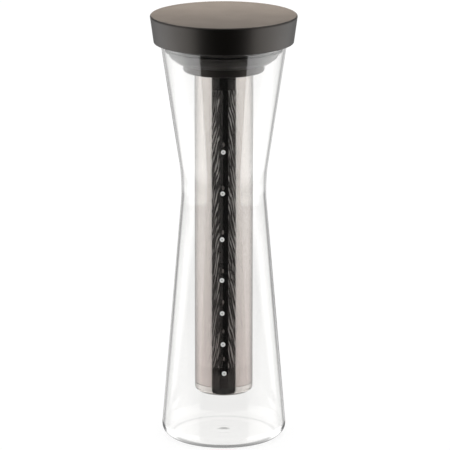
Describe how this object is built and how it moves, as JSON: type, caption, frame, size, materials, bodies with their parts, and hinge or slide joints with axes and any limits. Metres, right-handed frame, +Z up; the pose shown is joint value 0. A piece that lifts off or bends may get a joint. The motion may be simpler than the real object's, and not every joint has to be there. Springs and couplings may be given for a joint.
{
  "type": "cold brew coffee maker",
  "caption": "Hourglass glass carafe with a flat black lid, a sealed stopper and a long steel filter tube that screws up into the stopper and hangs inside the glass.",
  "frame": {"origin": "middle of the carafe's foot ring, on the surface that it stands on", "axes": "+Z up along the carafe's axis, -Y towards the filter's lapped seam and the viewer"},
  "size_m": [0.1082, 0.1082, 0.32],
  "materials": {
    "clear_glass": "clear borosilicate glass, fire polished",
    "black_resin": "satin black moulded thermoplastic",
    "black_silicone": "matte black silicone",
    "polished_steel": "polished stainless steel sheet, finely perforated on the tube"
  },
  "bodies": {
    "carafe": {"glass_carafe": "clear_glass"},
    "stopper": {"lid_shell": "black_resin", "stopper_body": "black_resin", "stopper_boot": "black_silicone"},
    "gasket": {"filter_gasket": "black_silicone"},
    "filter": {"filter_collar": "black_resin", "filter_ferrule": "polished_steel", "filter_tube": "polished_steel", "filter_cup": "polished_steel"}
  },
  "joints": [
    {"name": "stopper_lift", "type": "slide", "parent": "carafe", "child": "stopper", "axis": [0, 0, 1], "range_m": [0, 0.27]},
    {"name": "filter_descent", "type": "slide", "parent": "stopper", "child": "gasket", "axis": [0, 0, -1], "range_m": [0, 0.005]},
    {"name": "filter_unscrew", "type": "hinge", "parent": "gasket", "child": "filter", "pos_m": [0, 0, 0.29], "axis": [0, 0, -1], "range_deg": [0, 450]}
  ],
  "couplings": [
    {"joint": "filter_descent", "follows": "filter_unscrew", "m_per_rad": 0.00063662}
  ]
}
